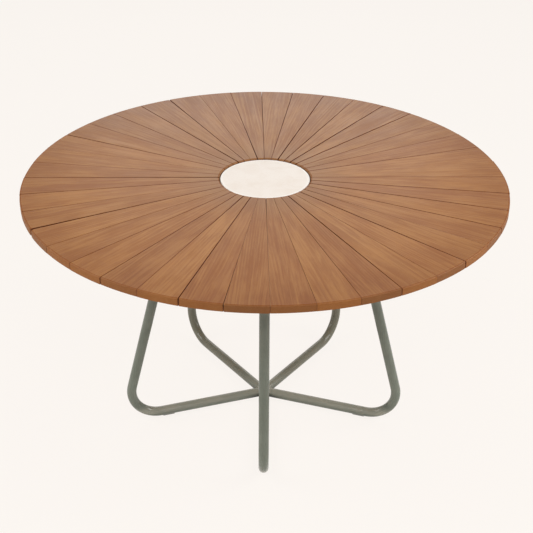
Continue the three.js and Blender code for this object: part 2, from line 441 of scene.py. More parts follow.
def weathered(s, colour, place, own_place):
    """Dust and painted sheen round the disc, painted shade towards the rim, grime beside the seams,
    painted shade in them and on eased edges, and painted highlights along some seam edges.
    """
    along, across, _ = s.split(place)
    # dust and painted sheen, strongest at the disc and fading outward
    dust_and_sheen = s.spread(along, OPENING_RADIUS + DUST_AND_SHEEN_REACH, OPENING_RADIUS, 0.0, 0.30)
    colour = s.mix(dust_and_sheen, colour, WOOD_DUST_AND_SHEEN)
    # painted shade towards the rim, where the top shows less sheen
    rim_shade = s.spread(along, *RIM_SHADE)
    colour = s.mix(rim_shade, colour, s.mix(1.0, colour, RIM_SHADE_TINT, "MULTIPLY"))
    half_width = s.times(along, tan(SLAT_PITCH / 2))
    from_side = s.maths("SUBTRACT", half_width, s.maths("ABSOLUTE", across))
    patchy = s.spread(grain(s, own_place, "patch"), 0.35, 0.7, 0.50, 1.0)
    right = s.attribute("open_right")
    left = s.attribute("open_left")
    on_left = s.maths("GREATER_THAN", across, 0.0)
    open_here = s.times_plus(on_left, s.maths("SUBTRACT", left, right), right)
    grime_and_shade = s.times(s.spread(from_side, *GRIME_REACH), s.times(patchy, open_here))
    # painted shade on the eased edges joins the grime beside the seams
    grime_and_shade = s.maths("MAXIMUM", grime_and_shade, s.times(s.attribute("edge_shade"), 0.7))
    colour = s.mix(s.times(grime_and_shade, 0.95), colour, WOOD_GRIME_AND_SHADE)
    # painted shade on the faces inside a gap
    colour = s.mix(s.attribute("in_seam"), colour, WOOD_SEAM_SHADE)
    # painted highlight along the eased edge of some seams
    highlight = s.times(s.attribute("highlight_right"), s.maths("SUBTRACT", 1.0, on_left))
    highlight = s.times(highlight, s.spread(from_side, *HIGHLIGHT_REACH))
    highlight = s.times(highlight, s.maths("SUBTRACT", patchy, s.attribute("end_grain"), clamp=True))
    highlight = s.maths("MAXIMUM", highlight, s.attribute("edge_highlight"))
    return s.mix(s.times(highlight, 0.45), colour, WOOD_HIGHLIGHT)


def wood_material():
    s = Shading("oiled_wood")
    place = s.attribute("slat_place", "Vector")
    seed = s.attribute("slat_seed", "Vector")
    own_place = s.vectors("ADD", place, s.vectors("MULTIPLY", seed, SEED_REACH))
    streak = grain(s, own_place, "streak")
    fibre = grain(s, own_place, "fibre")
    pores = s.spread(grain(s, own_place, "pore"), 0.66, 0.76)
    end = s.attribute("end_grain")
    tone = s.attribute("slat_tone")

    colour = wood_figure(s, own_place, growth_rings(s, place, own_place, seed), streak, fibre)
    colour = s.mix(s.times(pores, 0.3), colour, WOOD_PORE)
    colour = s.mix(s.times(end, 0.7), colour, WOOD_END)
    colour = s.mix(1.0, colour, s.merge(tone, tone, tone), "MULTIPLY")
    colour = weathered(s, colour, place, own_place)

    dulled = s.spread(grain(s, own_place, "dull"), 0.32, 0.68)
    roughness = s.times_plus(s.spread(streak, 0.3, 0.7), 0.06, 0.33)
    roughness = s.times_plus(dulled, 0.05, roughness)
    roughness = s.times_plus(end, 0.25, roughness)
    enclosed = s.maths("MAXIMUM", s.attribute("in_seam"), s.attribute("edge_shade"))
    roughness = s.times_plus(enclosed, 0.5, roughness, clamp=True)
    relief = s.times_plus(streak, 0.8, s.times(fibre, 0.35))
    relief = s.maths("SUBTRACT", relief, s.times(pores, 0.5))
    s.bump(relief, 0.0002, 0.8)
    return s.finish(colour, roughness)


# Powder-coated steel

COAT_COLOUR = srgb(118, 124, 113)
COAT_SHADE = srgb(106, 112, 101)
COAT_SCUFF = srgb(168, 163, 148)
# dust with painted light on the upper side of the lower runs
COAT_DUST_AND_LIGHT = srgb(164, 163, 150)
# painted brown reflection of the wood above, on the back legs
COAT_WOOD_REFLECTION = srgb(120, 109, 89)
# painted shade for the crotches where the five tubes meet
COAT_CROTCH_SHADE = srgb(50, 48, 43)

SCUFF_HEIGHTS = (0.05, 0.004)   # in each pair, where the wear starts and where it is full
# dust and painted light on the lower runs' upper side; the painted light is full at the front and fades
# towards the back
DUST_AND_LIGHT_HEIGHTS_BELOW = (0.012, 0.026)
DUST_AND_LIGHT_HEIGHTS_ABOVE = (0.055, 0.031)
PAINTED_LIGHT_DEPTHS = (0.11, 0.0)
# painted reflection of the wood above: towards the back and low down
REFLECTION_DEPTHS = (0.0, 0.12)
REFLECTION_HEIGHTS = (0.45, 0.10)
# painted shade low in the hub's crotches: the radii and heights where it starts and where it is full
HUB_SHADE_RADII = (0.070, 0.026)
HUB_SHADE_HEIGHTS = (0.023, 0.010)
SCRATCH_CYCLES = (60.0, 60.0, 300.0)


def coated_steel_material():
    """An even grey-green with a faint orange-peel skin.

    It is scuffed near the floor, dusty with painted light on the upper side of the lower runs, most at
    the front, has a painted brown reflection of the wood above low on the two back legs, and painted
    shade low down where the five tubes meet.
    """
    s = Shading("coated_steel")
    place = s.place()
    x, y, up = s.split(place)
    mottle = s.noise(place, 14.0, 4.0, 0.6)
    grit = s.noise(place, 900.0, 2.0)
    peel = s.noise(place, 420.0, 2.0, 0.4)
    colour = s.mix(s.spread(mottle, 0.3, 0.7), COAT_COLOUR, COAT_SHADE)
    scratch_place = s.vectors("MULTIPLY", place, SCRATCH_CYCLES)
    scratches = s.spread(s.noise(scratch_place, 1.0, 4.0, 0.7), 0.58, 0.70)
    scuff = s.times(s.spread(up, *SCUFF_HEIGHTS), scratches)
    colour = s.mix(s.times(scuff, 0.55), colour, COAT_SCUFF)
    colour = s.mix(s.spread(grit, 0.62, 0.75, 0.0, 0.10), colour, COAT_SCUFF)
    # dust and painted light on the lower runs' upper side, strongest at the front where light reaches
    # under the top
    dust_and_light = s.times(s.spread(up, *DUST_AND_LIGHT_HEIGHTS_BELOW), s.spread(up, *DUST_AND_LIGHT_HEIGHTS_ABOVE))
    dust_and_light = s.times(dust_and_light, s.spread(y, *PAINTED_LIGHT_DEPTHS, 0.15, 1.0))
    dust_and_light = s.times(dust_and_light, s.spread(mottle, 0.3, 0.7, 0.45, 0.75))
    colour = s.mix(dust_and_light, colour, COAT_DUST_AND_LIGHT)
    # painted brown reflection of the table's underside, low on the back legs
    wood_reflection = s.times(s.spread(y, *REFLECTION_DEPTHS, 0.0, 0.42), s.spread(up, *REFLECTION_HEIGHTS))
    colour = s.mix(wood_reflection, colour, COAT_WOOD_REFLECTION)
    # painted shade low down in the crotches where the tubes meet
    near_hub = s.spread(s.distance(x, y), *HUB_SHADE_RADII)
    crotch_shade = s.times(near_hub, s.spread(up, *HUB_SHADE_HEIGHTS))
    crotch_shade = s.times(crotch_shade, s.spread(mottle, 0.2, 0.6, 0.6, 0.95))
    colour = s.mix(crotch_shade, colour, COAT_CROTCH_SHADE)
    roughness = s.times_plus(mottle, 0.12, 0.11)
    roughness = s.times_plus(scuff, 0.2, roughness)
    s.bump(peel, 0.00006, 0.7)
    return s.finish(colour, roughness, IOR=1.42)


# Pale stone of the disc

STONE_COLOUR = srgb(239, 231, 223)
STONE_WARM = srgb(232, 221, 210)
STONE_SPECK = srgb(206, 184, 164)
# painted highlight on the disc's edge
STONE_EDGE_HIGHLIGHT = srgb(252, 248, 242)
# painted shade on the disc's side
STONE_SIDE_SHADE = srgb(120, 96, 76)
HIGHLIGHT_EDGE_RADII = (DISC_HIGH.x - 0.010, DISC_HIGH.x - 0.002)   # where the painted highlight starts, and where it is full
SIDE_SHADE_HEIGHTS = (DISC_HIGH.z - 0.001, DISC_HIGH.z - 0.004)   # where the painted shade starts, and where it is full


def stone_material():
    """Warm mottling, fine specks, a honed surface, a painted highlight on the edge and painted shade on
    the sides.
    """
    s = Shading("pale_stone")
    place = s.place()
    x, y, up = s.split(place)
    mottle = s.noise(place, 22.0, 5.0, 0.6, 0.6)
    cloud = s.noise(place, 6.0, 3.0, 0.5)
    specks = s.noise(place, 620.0, 1.0)
    colour = s.mix(s.spread(mottle, 0.35, 0.75, 0.0, 0.75), STONE_COLOUR, STONE_WARM)
    colour = s.mix(s.spread(cloud, 0.4, 0.7, 0.0, 0.25), colour, STONE_WARM)
    colour = s.mix(s.spread(specks, 0.66, 0.74, 0.0, 0.45), colour, STONE_SPECK)
    # painted highlight round the disc's edge
    colour = s.mix(s.spread(s.distance(x, y), *HIGHLIGHT_EDGE_RADII, 0.0, 0.7), colour, STONE_EDGE_HIGHLIGHT)
    # painted shade on the disc's side, in the gap round it
    colour = s.mix(s.spread(up, *SIDE_SHADE_HEIGHTS, 0.0, 0.75), colour, STONE_SIDE_SHADE)
    roughness = s.times_plus(mottle, 0.15, 0.42)
    s.bump(s.times_plus(specks, -0.5, mottle), 0.0001, 0.5)
    return s.finish(colour, roughness)


# Plastic, rubber and zinc

PLASTIC_PALE = srgb(139, 140, 132)
PLASTIC_WORN = srgb(122, 122, 114)
RUBBER_BLACK = srgb(34, 34, 31)
RUBBER_DUST = srgb(62, 60, 56)
ZINC_BRIGHT = srgb(176, 174, 166)
ZINC_BLOOM = srgb(140, 138, 130)


def plastic_material():
    s = Shading("grey_plastic")
    place = s.place()
    grit = s.noise(place, 1500.0, 2.0)
    wear = s.noise(place, 120.0, 4.0, 0.65)
    colour = s.mix(s.spread(wear, 0.4, 0.7), PLASTIC_PALE, PLASTIC_WORN)
    roughness = s.times_plus(wear, 0.2, 0.48)
    s.bump(grit, 0.00008, 0.6)
    return s.finish(colour, roughness)


def rubber_material():
    s = Shading("black_rubber")
    place = s.place()
    grit = s.noise(place, 1100.0, 3.0, 0.6)
    dust = s.noise(place, 60.0, 4.0, 0.6)
    colour = s.mix(s.spread(dust, 0.45, 0.75, 0.0, 0.6), RUBBER_BLACK, RUBBER_DUST)
    roughness = s.times_plus(grit, 0.15, 0.75)
    s.bump(grit, 0.0001, 0.6)
    return s.finish(colour, roughness)


def zinc_material():
    s = Shading("zinc_steel")
    place = s.place()
    bloom = s.noise(place, 260.0, 4.0, 0.6)
    colour = s.mix(s.spread(bloom, 0.35, 0.7), ZINC_BRIGHT, ZINC_BLOOM)
    roughness = s.times_plus(bloom, 0.25, 0.28)
    s.bump(bloom, 0.00003, 0.5)
    return s.finish(colour, roughness, Metallic=0.85)


WOOD = wood_material()
STEEL = coated_steel_material()
STONE = stone_material()
PLASTIC = plastic_material()
RUBBER = rubber_material()
ZINC = zinc_material()


# Seams between the slats

SEAM_SEED = 7
GAP_SPREAD = (0.95, 1.35)   # of the factor that each gap is drawn with
CLOSEST_SEAM = 0.0003
OPEN_SEAM = 0.0018   # a seam of this mean width or more is grimy all along
COMMON_SEAM = (0.0008, 0.0008, 0.0006)   # gap at the disc, midway and at the rim
SEAM_KINDS = (   # the same three gaps, and the numbers of the seams that have them
    ((0.0023, 0.0024, 0.0014), (4, 6, 9)),
    ((0.0024, 0.0018, 0.0015), (19, 25)),
    ((0.0024, 0.0030, 0.0015), (17,)),
    ((0.0018, 0.0021, 0.0005), (18,)),
    ((0.0013, 0.0023, 0.0013), (16,)),
    ((0.0030, 0.0013, 0.0008), (31,)),
    ((0.0021, 0.0009, 0.0006), (7, 22, 38)),
    ((0.0014, 0.0017, 0.0016), (8, 10, 13, 39)),
    ((0.0010, 0.0018, 0.0026), (24, 28)),
    ((0.0020, 0.0029, 0.0059), (34,)),
    ((0.0011, 0.0013, 0.0011), (11, 15, 26, 27, 30, 32, 36, 37)),
    ((0.0005, 0.0011, 0.0011), (20, 21)),
    ((0.0013, 0.0004, 0.0004), (1, 12)),
    ((0.0004, 0.0004, 0.0011), (33, 40)),
    ((0.0004, 0.0004, 0.0004), (2, 5, 23, 29, 35)),
)
RIM_RADIUS = TOP_RADIUS - RIM_INSET


def seam_gaps():
    """(gap at the disc, midway, at the rim) of every seam in turn.

    Slats are numbered from the front to the right, and each gives its number to the seam on its right,
    which it starts at.
    """
    draw = random.Random(SEAM_SEED)
    gaps = []
    for number in range(1, SLAT_COUNT + 1):
        widths = next((widths for widths, numbers in SEAM_KINDS if number in numbers), COMMON_SEAM)
        gaps.append([width * draw.uniform(*GAP_SPREAD) for width in widths])
    return gaps


def gap_width(gap, radius):
    """The width of a seam at a radius, on a parabola through its three gaps."""
    share = (radius - OPENING_RADIUS) / (RIM_RADIUS - OPENING_RADIUS)
    at_disc, midway, at_rim = gap
    width = at_disc * (1 - share) * (1 - 2 * share)
    width += midway * 4 * share * (1 - share)
    width += at_rim * share * (2 * share - 1)
    return max(width, CLOSEST_SEAM)


def openness(gap):
    """0 for a closed seam and 1 for an open one, by its mean width."""
    share = (sum(gap) / len(gap) - CLOSEST_SEAM) / (OPEN_SEAM - CLOSEST_SEAM)
    return min(max(share, 0.0), 1.0)


# Slats

SLAT_SEED = 21
RIM_EASE = 0.0040
SEAM_EASE = 0.00025
BOTTOM_EASE = 0.0010
DISC_CORNER = 0.0010
RIM_CORNER = 0.0001   # at a seam with no width
NOTCH_PER_GAP = 1.2   # that a corner at the rim grows by with the width of its seam
SEAM_FLOOR_SHARE = 0.15   # of a seam's width that is left at its foot
RIM_STEPS = 9
DISC_STEPS = 5
CORNER_STEPS = 4
EASE_STEPS = 4
SIDE_SHARES = (0.2, 0.4, 0.6, 0.8)

FIRST_END_SHADE = 0.8   # the dark line of an eased end, on the first of its facets
OTHER_END_SHADE = 0.1
LEAST_SIDE_SHADE = 0.2   # the same line beside a closed seam
DISC_END_SHADE = 0.6   # how far the end at the disc counts as the inside of a seam

MOST_TILT = 0.003
DROP_SPREAD = (0.00015, 0.00045)
END_SETBACK = 0.0010
TONE_SPREAD = (0.965, 1.025)
END_TONE_SPREAD = (0.80, 1.06)
BAND_SPREAD = (-0.6, 1.0)   # below 0 a slat has no bands
FAINT_LINES = 0.15

# seams that get a painted highlight along one edge
HIGHLIGHTED_SEAMS = (1, 7, 12, 29, 32, 40)
LINED_SLATS = (1, 21, 22, 40)
PALE_SLATS = (10, 11, 12, 27, 28, 32, 34, 36, 38)
DEEP_SLATS = (1, 3, 24, 26, 37, 40)
OLIVE_SLATS = range(14, 28)   # less red than the others
PALE_TONE = 1.025
DEEP_TONE = 0.955
OLIVE_TONE = 0.955
OLIVE_WARMTH = 0.3
OLIVE_BANDS = 0.5
WARMTH_KEPT = 0.4   # the part of the range of hues that pale slats and deep ones keep to


def slat_outline(gaps, gap_share, side_inset, end_inset, setback):
    """(point, end share, side) round one wedge along +X. The side is -1 on its right, 1 on its left."""

    def angle_at(radius, side):
        half_gap = gap_width(gaps[side], radius) * gap_share / 2 + side_inset
        return side * (SLAT_PITCH / 2 - asin(half_gap / radius))

    def flat(radius, angle):
        return Vector((radius * cos(angle), radius * sin(angle)))

    def corner_points(radius, is_rim, side):
        """An eased corner from the side to the end, and the angle where it meets the end."""
        corner = RIM_CORNER + NOTCH_PER_GAP * gaps[side][2] if is_rim else DISC_CORNER
        back = radius - corner if is_rim else radius + corner
        tip_angle = angle_at(radius, side)
        end_angle = tip_angle - side * corner / radius
        on_side = flat(back, angle_at(back, side))
        tip = flat(radius, tip_angle)
        on_end = flat(radius, end_angle)
        points = []
        for k in range(CORNER_STEPS + 1):
            t = k / CORNER_STEPS
            points.append((on_side * (1 - t) ** 2 + tip * 2 * t * (1 - t) + on_end * t ** 2, t, side))
        return points, end_angle

    rim_end = (RIM_RADIUS - setback - end_inset, True, -1, RIM_STEPS)
    disc_end = (OPENING_RADIUS + end_inset, False, 1, DISC_STEPS)
    outline = []
    for radius, is_rim, first_side, steps in (rim_end, disc_end):
        entry, start = corner_points(radius, is_rim, first_side)
        leaving, stop = corner_points(radius, is_rim, -first_side)
        outline += entry
        for k in range(1, steps):
            outline.append((flat(radius, start + (stop - start) * k / steps), 1.0, 0))
        outline += reversed(leaving)
        shares = SIDE_SHARES if first_side == 1 else reversed(SIDE_SHARES)
        for share in shares:
            at = OPENING_RADIUS + share * (RIM_RADIUS - OPENING_RADIUS)
            outline.append((flat(at, angle_at(at, -first_side)), 0.0, -first_side))
    return outline


def slat_mesh(gaps, slat, highlight_side):
    """One slat along +X at its height, eased all round, and four values for each face.

    The values are end grain, the painted shade of an eased upper edge, the painted highlight along an
    edge, and how far the face is inside a gap, which is painted as shade. The highlighted side is -1
    for the right or None.
    """
    levels = [("top", k / EASE_STEPS) for k in range(EASE_STEPS + 1)]
    levels += [("bottom", 1 - k / EASE_STEPS) for k in range(EASE_STEPS + 1)]
    slopes = [sin(QUARTER_TURN * share) for _, share in levels]
    vertices = []
    for part, share in levels:
        inset = 1 - sin(QUARTER_TURN * share)
        sink = 1 - cos(QUARTER_TURN * share)
        if part == "top":
            outline = slat_outline(gaps, 1, SEAM_EASE * inset, RIM_EASE * inset, slat.setback)
        else:
            all_round = BOTTOM_EASE * inset
            outline = slat_outline(gaps, SEAM_FLOOR_SHARE, all_round, all_round, slat.setback)
        for point, end_share, _ in outline:
            if part == "top":
                ease = SEAM_EASE + (RIM_EASE - SEAM_EASE) * end_share
                z = TABLE_HEIGHT - slat.drop - ease * sink + slat.tilt * point.y
            else:
                z = SLAT_BOTTOM_Z + BOTTOM_EASE * sink
            vertices.append(Vector((point.x, point.y, z)))

    count = len(outline)
    faces = [tuple(range(count))]
    values = [(0.0, 0.0, 0.0, 0.0)]
    for level in range(len(levels) - 1):
        above = level * count
        below = above + count
        steepness = (slopes[level] + slopes[level + 1]) / 2
        on_ease = level < EASE_STEPS
        end_shade = FIRST_END_SHADE if level == 0 else OTHER_END_SHADE
        for i in range(count):
            j = (i + 1) % count
            faces.append((above + j, above + i, below + i, below + j))
            end_share = (outline[i][1] + outline[j][1]) / 2
            side_openness = openness(gaps[outline[i][2] or 1])
            side_shade = LEAST_SIDE_SHADE + (1 - LEAST_SIDE_SHADE) * side_openness
            shade = (1 - end_share) * side_shade + end_share * end_shade if on_ease else 0.0
            highlight = 1 - end_share if on_ease and outline[i][2] == outline[j][2] == highlight_side else 0.0
            at_disc = end_share if outline[i][0].x < OPENING_RADIUS + DISC_CORNER else 0.0
            enclosed = max(1 - end_share, at_disc * DISC_END_SHADE)
            in_seam = enclosed if EASE_STEPS <= level <= EASE_STEPS + 1 else 0.0
            values.append((steepness * end_share, shade * (1 - highlight), highlight, in_seam))
    faces.append(tuple(reversed(range((len(levels) - 1) * count, len(levels) * count))))
    values.append((0.0, 0.0, 0.0, 0.0))
    return vertices, faces, values


def drawn_slat(draw, number):
    """How one slat differs from the others in place, tone and figure."""
    slat = SimpleNamespace(
        tilt=draw.uniform(-MOST_TILT, MOST_TILT),
        drop=draw.uniform(*DROP_SPREAD),
        seed=(draw.random(), draw.random(), draw.random()),
        tone=draw.uniform(*TONE_SPREAD),
        warmth=draw.random(),
        setback=END_SETBACK * draw.random() ** 2,
        end_tone=draw.uniform(*END_TONE_SPREAD),
        bands=max(0.0, draw.uniform(*BAND_SPREAD)),
    )
    if number in PALE_SLATS:
        slat.tone = PALE_TONE
        slat.warmth *= WARMTH_KEPT
    if number in DEEP_SLATS:
        slat.tone = DEEP_TONE
        slat.warmth = 1 - WARMTH_KEPT + slat.warmth * WARMTH_KEPT
    if number in OLIVE_SLATS:
        slat.tone *= OLIVE_TONE
        slat.warmth *= OLIVE_WARMTH
        slat.bands *= OLIVE_BANDS
    return slat


def make_slats():
    gaps = seam_gaps()
    draw = random.Random(SLAT_SEED)
    for i in range(SLAT_COUNT):
        number = i + 1
        slat = drawn_slat(draw, number)
        is_highlighted = number in HIGHLIGHTED_SEAMS
        slat_gaps = {-1: gaps[i], 1: gaps[(i + 1) % SLAT_COUNT]}
        vertices, faces, values = slat_mesh(slat_gaps, slat, -1 if is_highlighted else None)
        azimuth = SEAM_AZIMUTH + (i + 0.5) * SLAT_PITCH
        placed, _ = moved((vertices, faces), azimuth_turn(azimuth))
        piece = add_piece(f"wood_slat_{number:02d}", placed, faces, WOOD, "slats")
        for name, layer in zip(("end_grain", "edge_shade", "edge_highlight", "in_seam"), zip(*values)):
            face_values(piece, name, layer)
        tones = [slat.tone * (1 + (slat.end_tone - 1) * end_grain) for end_grain, *_ in values]
        face_values(piece, "slat_tone", tones)
        even_values = {
            "open_right": openness(slat_gaps[-1]),
            "open_left": openness(slat_gaps[1]),
            "highlight_right": 1.0 if is_highlighted else 0.0,
            "slat_warmth": slat.warmth,
            "slat_bands": slat.bands,
            "slat_lines": 1.0 if number in LINED_SLATS else FAINT_LINES,
        }
        for name, value in even_values.items():
            face_values(piece, name, [value] * len(faces))
        vectors_on(piece, "slat_seed", "FACE", [slat.seed] * len(faces))
        vectors_on(piece, "slat_place", "POINT", vertices)
        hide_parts(f"slat_{number:02d}")


# Legs

TUBE_SEGMENTS = 40
BEND_STEPS = 28
LOWER_RUN_SHARES = (0.0, 0.15, 0.4, 0.7)
UPRIGHT_SHARES = (0.25, 0.5, 0.75)
ARM_SHARES = (0.35, 0.7, 1.0)

WELD_RADIUS = 0.0016
WELD_SIDES = 10
WELD_STEPS = 44
WELD_REACH = radians(86)   # up and down from the level, round a tube
WELD_END_SHARE = 0.35   # of its radius, at the very end of a bead
WELD_END_GROWTH = 0.4   # of its radius, at each point from there
WELD_RIPPLE = 0.16
WELD_SPREAD = 0.08


def bend_stations(x, z, way):
    """(x, z, heading) round one bend that starts level at x, z. The way is 1 outward and up, or -1."""
    stations = []
    for k in range(BEND_STEPS + 1):
        heading = BEND_TURN * k / BEND_STEPS
        along = BEND_RADIUS * sin(heading)
        rise = BEND_RADIUS * (1 - cos(heading))
        stations.append((x + way * along, z + way * rise, heading))
    return stations


def leg_stations():
    """(x, z, heading) along a leg's centreline, from the hub to the end of the arm."""
    lower_run = [(share * LOWER_RUN_END, LOWER_RUN_Z, 0.0) for share in LOWER_RUN_SHARES]
    lower_bend = bend_stations(LOWER_RUN_END, LOWER_RUN_Z, 1)
    upper_bend = bend_stations(ARM_START, ARM_Z, -1)[::-1]
    foot_x, foot_z, _ = lower_bend[-1]
    run = upper_bend[0][0] - foot_x
    rise = upper_bend[0][1] - foot_z
    upright = [(foot_x + run * share, foot_z + rise * share, BEND_TURN) for share in UPRIGHT_SHARES]
    arm = [(ARM_START + (ARM_END - ARM_START) * share, ARM_Z, 0.0) for share in ARM_SHARES]
    return lower_run + lower_bend + upright + upper_bend + arm


def tube_ring(station, radius, mitred):
    x, z, heading = station
    ring = []
    for k in range(TUBE_SEGMENTS):
        angle = FULL_TURN * k / TUBE_SEGMENTS
        side = radius * cos(angle)
        lift = radius * sin(angle)
        reach = abs(side) / tan(LEG_PITCH / 2) + SEAT_GAP / 2 if mitred else 0.0
        ring.append(Vector((x - lift * sin(heading) + reach, side, z + lift * cos(heading))))
    return ring


def leg_mesh():
    """A hollow tube along +X, mitred at the hub and open at the end of its arm."""
    stations = leg_stations()
    vertices = []
    for radius in (TUBE_RADIUS, TUBE_RADIUS - TUBE_WALL):
        for k, station in enumerate(stations):
            vertices += tube_ring(station, radius, k == 0)
    bore = len(stations) * TUBE_SEGMENTS
    last = bore - TUBE_SEGMENTS
    faces = []
    for here in range(0, last, TUBE_SEGMENTS):
        there = here + TUBE_SEGMENTS
        faces += bridge(here, there, TUBE_SEGMENTS)
        faces += bridge(bore + there, bore + here, TUBE_SEGMENTS)
    faces += bridge(bore, 0, TUBE_SEGMENTS)
    faces += bridge(last, bore + last, TUBE_SEGMENTS)
    return vertices, faces


def bead(points, seed):
    """A rippled weld bead along points, closed at both ends."""
    draw = random.Random(seed)
    final = len(points) - 1
    vertices = []
    for k, point in enumerate(points):
        ahead = (points[min(k + 1, final)] - points[max(k - 1, 0)]).normalized()
        side = ahead.cross(Vector((0, 0, 1)))
        side = side.normalized() if side.length > 1e-6 else Vector((0, 1, 0))
        over = side.cross(ahead)
        end_share = min(1.0, WELD_END_SHARE + WELD_END_GROWTH * min(k, final - k))
        unevenness = 1 + WELD_RIPPLE * (k % 2) + draw.uniform(-WELD_SPREAD, WELD_SPREAD)
        size = WELD_RADIUS * end_share * unevenness
        for i in range(WELD_SIDES):
            angle = FULL_TURN * i / WELD_SIDES
            vertices.append(point + size * (cos(angle) * side + sin(angle) * over))
    faces = []
    for k in range(final):
        faces += bridge((k + 1) * WELD_SIDES, k * WELD_SIDES, WELD_SIDES)
    faces.append(tuple(range(WELD_SIDES)))
    faces.append(tuple(reversed(range(final * WELD_SIDES, (final + 1) * WELD_SIDES))))
    return vertices, faces


def hub_weld_mesh():
    """Beads over the five mitres, from the top of the hub round each crotch to its underside."""
    parts = []
    for leg in range(LEG_COUNT):
        points = []
        for k in range(WELD_STEPS + 1):
            angle = WELD_REACH - 2 * WELD_REACH * k / WELD_STEPS
            out = TUBE_RADIUS * cos(angle) / sin(LEG_PITCH / 2)
            points.append(Vector((out, 0, LOWER_RUN_Z + TUBE_RADIUS * sin(angle))))
        turn = azimuth_turn((leg + 0.5) * LEG_PITCH)
        parts.append(moved(bead(points, leg), turn))
    return joined(parts)


def make_legs():
    tube = leg_mesh()
    for leg in range(LEG_COUNT):
        placed = moved(tube, azimuth_turn(leg * LEG_PITCH))
        piece = add_piece(f"tube_leg_{leg + 1}", *placed, STEEL, "steel_frame")
        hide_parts(f"leg_tube_{leg + 1}")
    add_piece("hub_welds", *hub_weld_mesh(), STEEL, "steel_frame", crisp=False)


# Screws and bolts

SCREW_HEAD_RADIUS = 0.0042
SCREW_HEAD_HEIGHT = 0.0024
SCREW_HEAD_SINK = 0.0001   # into the ring
BOLT_HEAD_RADIUS = 0.006
BOLT_HEAD_HEIGHT = 0.0038
BOLT_HEAD_SINK = 0.0008   # into the round tube
HEAD_SEGMENTS = 24
DOME_ANGLE = radians(62)
DOME_STEPS = 5
DOME_INSET = 0.42   # of the radius, from a head's foot to its flat top
HEAD_SIDE = 0.35   # of the height, from the foot to the dome
RECESS_TAPER = 0.8
STAR_RECESS = (4, 0.45, 0.0024, 0.0011)   # points, waist, reach and depth
HEXAGON_RECESS = (6, 0.866, 0.0024, 0.0022)


def head_mesh(radius, height, recess):
    """A domed head with a recess. It hangs below z = 0."""
    points, waist, reach, depth = recess
    dome_width = 1 - cos(DOME_ANGLE)
    dome_rise = sin(DOME_ANGLE)
    rings = [[(radius, 0.0)] * HEAD_SEGMENTS]
    for k in range(1, DOME_STEPS + 1):
        angle = DOME_ANGLE * k / DOME_STEPS
        out = radius * (1 - DOME_INSET * (1 - cos(angle)) / dome_width)
        down = height * (HEAD_SIDE + (1 - HEAD_SIDE) * sin(angle) / dome_rise)
        rings.append([(out, -down)] * HEAD_SEGMENTS)
    per_point = HEAD_SEGMENTS // points
    rim, floor = [], []
    for i in range(HEAD_SEGMENTS):
        share = abs((i % per_point) / per_point - 0.5) * 2
        out = reach * (waist + (1 - waist) * share)
        rim.append((out, -height))
        floor.append((out * RECESS_TAPER, -height + depth))
    rings += [rim, floor]
    vertices = [Vector((0, 0, 0))]
    for ring in rings:
        vertices += [round_axis(r, z, i, HEAD_SEGMENTS) for i, (r, z) in enumerate(ring)]
    vertices.append(Vector((0, 0, -height + depth)))
    faces = []
    last = 1 + (len(rings) - 1) * HEAD_SEGMENTS
    for i in range(HEAD_SEGMENTS):
        j = (i + 1) % HEAD_SEGMENTS
        faces.append((0, 1 + i, 1 + j))
        for here in range(1, last, HEAD_SEGMENTS):
            there = here + HEAD_SEGMENTS
            faces.append((here + i, there + i, there + j, here + j))
        faces.append((last + i, len(vertices) - 1, last + j))
    return vertices, faces


def make_slat_screws(name, radius, seed):
    """A screw up into every slat through one ring, each turned as it came."""
    draw = random.Random(seed)
    head = head_mesh(SCREW_HEAD_RADIUS, SCREW_HEAD_HEIGHT, STAR_RECESS)
    heads = []
    for i in range(SLAT_COUNT):
        azimuth = SEAM_AZIMUTH + (i + 0.5) * SLAT_PITCH
        spin = Matrix.Rotation(draw.uniform(0, FULL_TURN), 4, "Z")
        place = azimuth_turn(azimuth) @ Matrix.Translation((radius, 0, RING_BOTTOM_Z + SCREW_HEAD_SINK))
        heads.append(moved(head, place @ spin))
    add_piece(name, *joined(heads), ZINC, "steel_frame")


def make_arm_bolts(stations):
    head = head_mesh(BOLT_HEAD_RADIUS, BOLT_HEAD_HEIGHT, HEXAGON_RECESS)
    for leg in range(LEG_COUNT):
        heads = []
        for station in stations:
            place = Matrix.Translation((station, 0, ARM_Z - TUBE_RADIUS + BOLT_HEAD_SINK))
            heads.append(moved(head, azimuth_turn(leg * LEG_PITCH) @ place))
        add_piece(f"arm_bolts_{leg + 1}", *joined(heads), ZINC, "steel_frame")


# Rings under the slats

RING_EASE = 0.0008


def ring_span(node, width):
    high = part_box(node)[1]
    return high.x - width, high.x


def make_ring(name, node, width):
    inner, outer = ring_span(node, width)
    mesh = revolved_ring(inner, outer, RING_BOTTOM_Z, RING_TOP_Z, RING_EASE)
    ring = add_piece(name, *mesh, STEEL, "steel_frame")
    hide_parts(node)


def make_rings():
    make_ring("flat_seat_ring", "seat_ring", SEAT_RING_WIDTH)
    make_ring("flat_middle_ring", "middle_ring", RING_WIDTH)
    make_ring("flat_outer_ring", "outer_ring", RING_WIDTH)
    seat_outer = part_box("seat_ring")[1].x
    seat_line = (OPENING_RADIUS + seat_outer) / 2
    middle_line = sum(ring_span("middle_ring", RING_WIDTH)) / 2
    outer_line = sum(ring_span("outer_ring", RING_WIDTH)) / 2
    make_slat_screws("seat_ring_screws", seat_line, 16)
    make_slat_screws("middle_ring_screws", middle_line, 18)
    make_slat_screws("outer_ring_screws", outer_line, 17)
    make_arm_bolts((middle_line, outer_line))


# Disc and the pad ring that it lies on

DISC_EASE = 0.0018
DISC_EASE_STEPS = 6
PAD_WIDTH = 0.014
PAD_EASE = 0.0003


